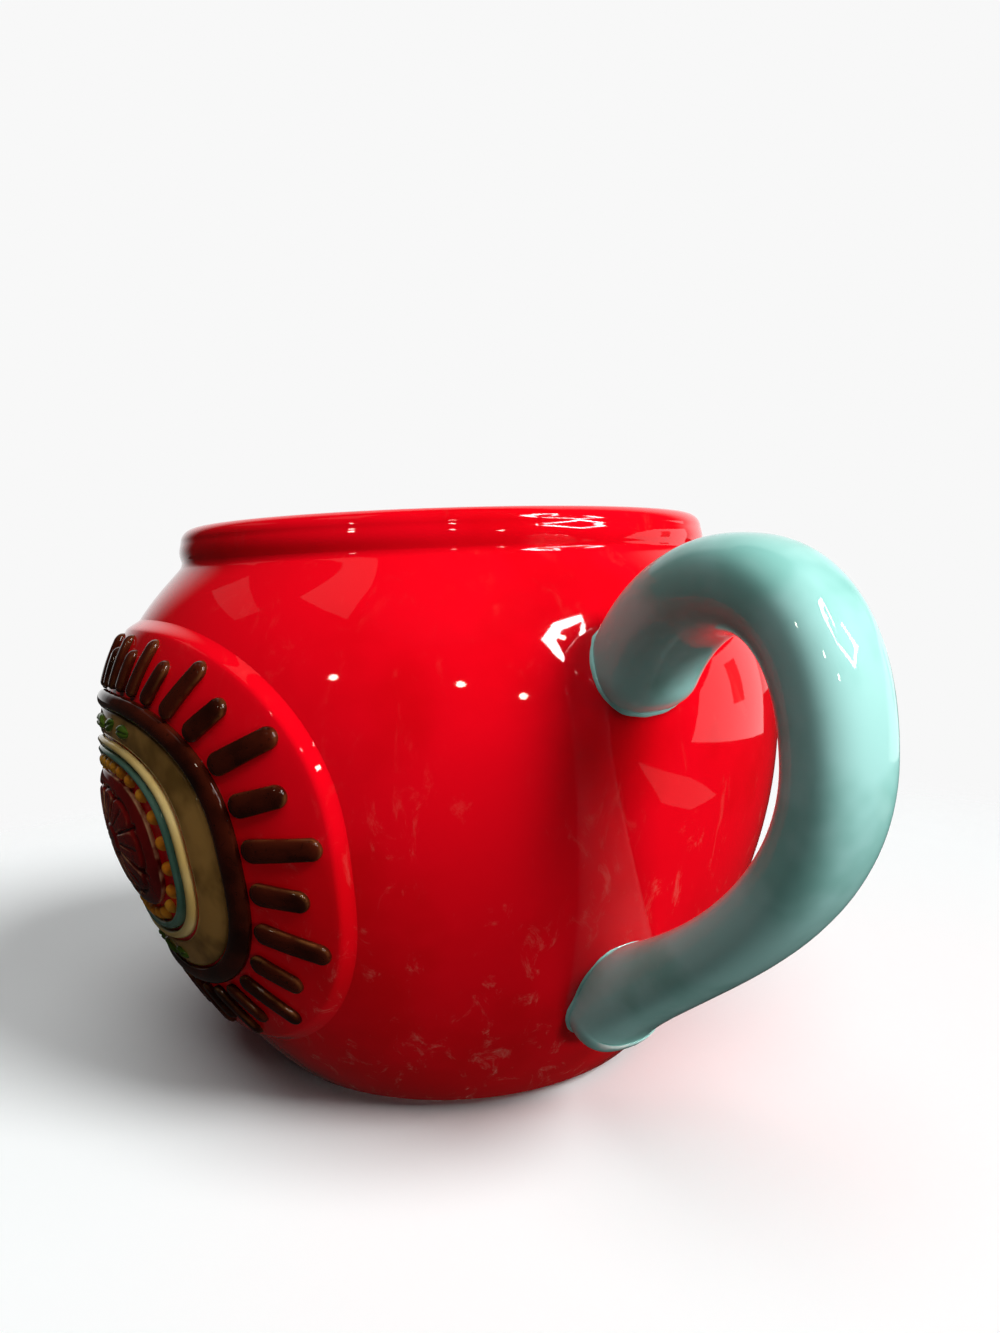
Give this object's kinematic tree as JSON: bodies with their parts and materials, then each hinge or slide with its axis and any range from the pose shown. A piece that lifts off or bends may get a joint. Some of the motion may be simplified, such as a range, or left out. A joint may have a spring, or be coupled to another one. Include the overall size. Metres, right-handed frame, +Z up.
{
  "type": "coffee mug",
  "caption": "Round glazed ceramic mug with a short rolled collar, a looped tube handle and a raised painted medallion on one side.",
  "frame": {"origin": "centre of the foot ring's resting face, on the axis of the body", "axes": "+Z up along the axis of the body, +X towards the handle, the medallion faces -Y"},
  "size_m": [0.1552, 0.1208, 0.0935],
  "materials": {
    "red_glaze": "bright red gloss glaze over stoneware, bare clay on the foot ring",
    "aqua_glaze": "aqua green gloss glaze",
    "plinth_glaze": "bright red gloss glaze, thinner at its edges",
    "tan_glaze": "olive tan gloss glaze with brush variation",
    "brown_glaze": "dark brown gloss glaze, thinner on its crest",
    "ray_glaze": "dark brown gloss glaze, thinner on its edges",
    "cream_glaze": "cream gloss glaze",
    "teal_glaze": "grey teal gloss glaze",
    "deep_red_glaze": "deep red gloss glaze",
    "orange_glaze": "orange yellow gloss glaze",
    "green_glaze": "leaf green gloss glaze"
  },
  "bodies": {
    "root": {"body": "red_glaze", "handle": "aqua_glaze", "relief_plinth": "plinth_glaze", "relief_field": "tan_glaze", "relief_band": "brown_glaze", "relief_rays": "ray_glaze", "relief_cream_ring": "cream_glaze", "relief_teal_ring": "teal_glaze", "relief_boss": "deep_red_glaze", "relief_beads": "orange_glaze", "relief_leaves": "green_glaze"}
  },
  "joints": []
}
